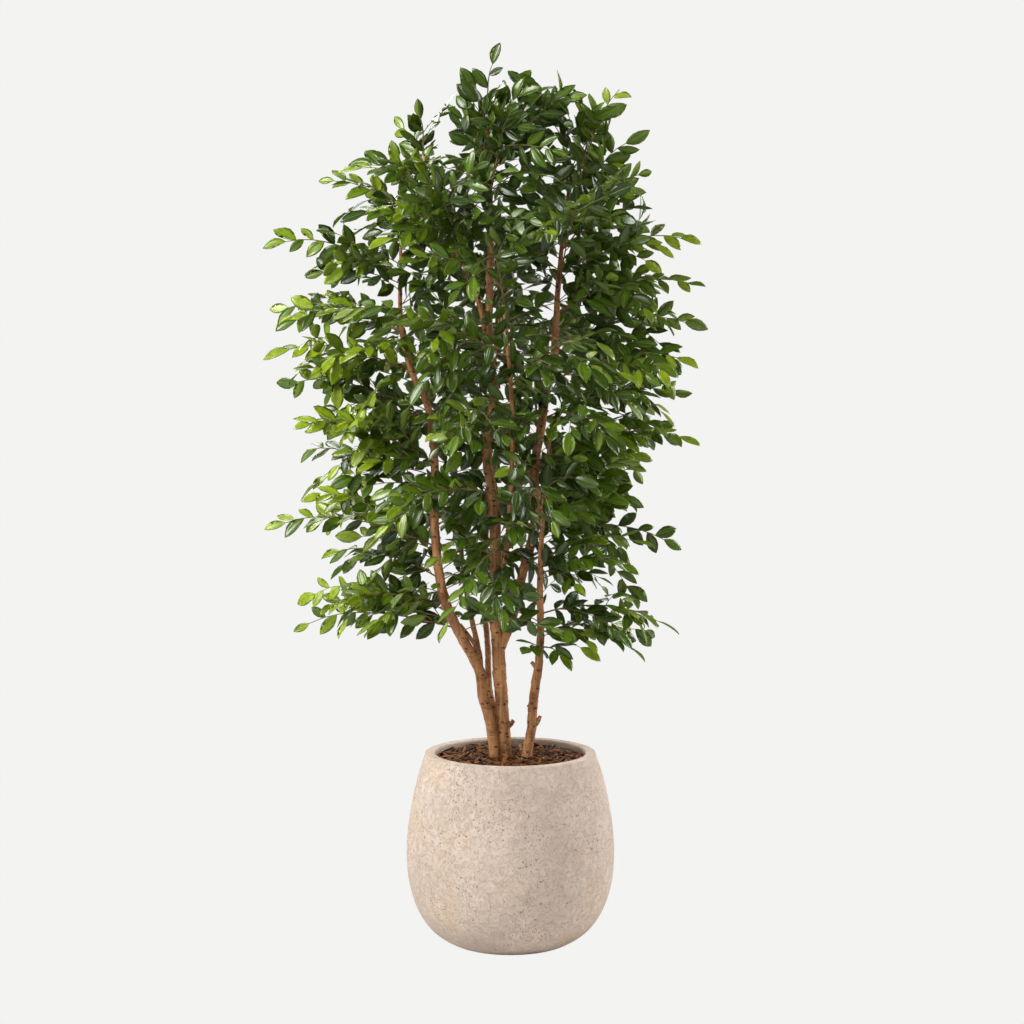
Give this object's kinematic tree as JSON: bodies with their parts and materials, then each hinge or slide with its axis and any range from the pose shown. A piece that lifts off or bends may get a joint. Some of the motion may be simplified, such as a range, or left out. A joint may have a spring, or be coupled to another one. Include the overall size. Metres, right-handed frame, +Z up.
{
  "type": "potted orange jasmine",
  "caption": "Multi-stemmed indoor shrub with glossy pointed leaflets on arching twigs, in a round cast stone pot with bark mulch.",
  "frame": {"origin": "centre of the pot's flat foot, on the surface that it stands on", "axes": "+Z up along the pot's axis, -Y towards the viewer of the front, +X to the viewer's right"},
  "size_m": [0.8275, 0.7447, 1.7192],
  "materials": {
    "cast_stone": "matte, mottled, with fine pinholes",
    "soil": "matte",
    "mulch": "satin chips",
    "bark": "smooth bark, matte",
    "leaf": "glossy"
  },
  "bodies": {
    "root": {"bark_mulch": "mulch", "main_stems": "bark", "pot": "cast_stone", "potting_soil": "soil", "right_stem": "bark", "spray_back_1": "leaf", "spray_back_10": "leaf", "spray_back_2": "leaf", "spray_back_3": "leaf", "spray_back_4": "leaf", "spray_back_5": "leaf", "spray_back_6": "leaf", "spray_back_7": "leaf", "spray_back_8": "leaf", "spray_back_9": "leaf", "spray_front_1": "leaf", "spray_front_10": "leaf", "spray_front_11": "leaf", "spray_front_2": "leaf", "spray_front_3": "leaf", "spray_front_4": "leaf", "spray_front_5": "leaf", "spray_front_6": "leaf", "spray_front_7": "leaf", "spray_front_8": "leaf", "spray_front_9": "leaf", "spray_left_1": "leaf", "spray_left_10": "leaf", "spray_left_11": "leaf", "spray_left_12": "leaf", "spray_left_13": "leaf", "spray_left_14": "leaf", "spray_left_2": "leaf", "spray_left_3": "leaf", "spray_left_4": "leaf", "spray_left_5": "leaf", "spray_left_6": "leaf", "spray_left_7": "leaf", "spray_left_8": "leaf", "spray_left_9": "leaf", "spray_right_1": "leaf", "spray_right_10": "leaf", "spray_right_11": "leaf", "spray_right_12": "leaf", "spray_right_13": "leaf", "spray_right_14": "leaf", "spray_right_15": "leaf", "spray_right_2": "leaf", "spray_right_3": "leaf", "spray_right_4": "leaf", "spray_right_5": "leaf", "spray_right_6": "leaf", "spray_right_7": "leaf", "spray_right_8": "leaf", "spray_right_9": "leaf", "spray_top_1": "leaf", "spray_top_2": "leaf", "spray_top_3": "leaf", "spray_top_4": "leaf"}
  },
  "joints": []
}
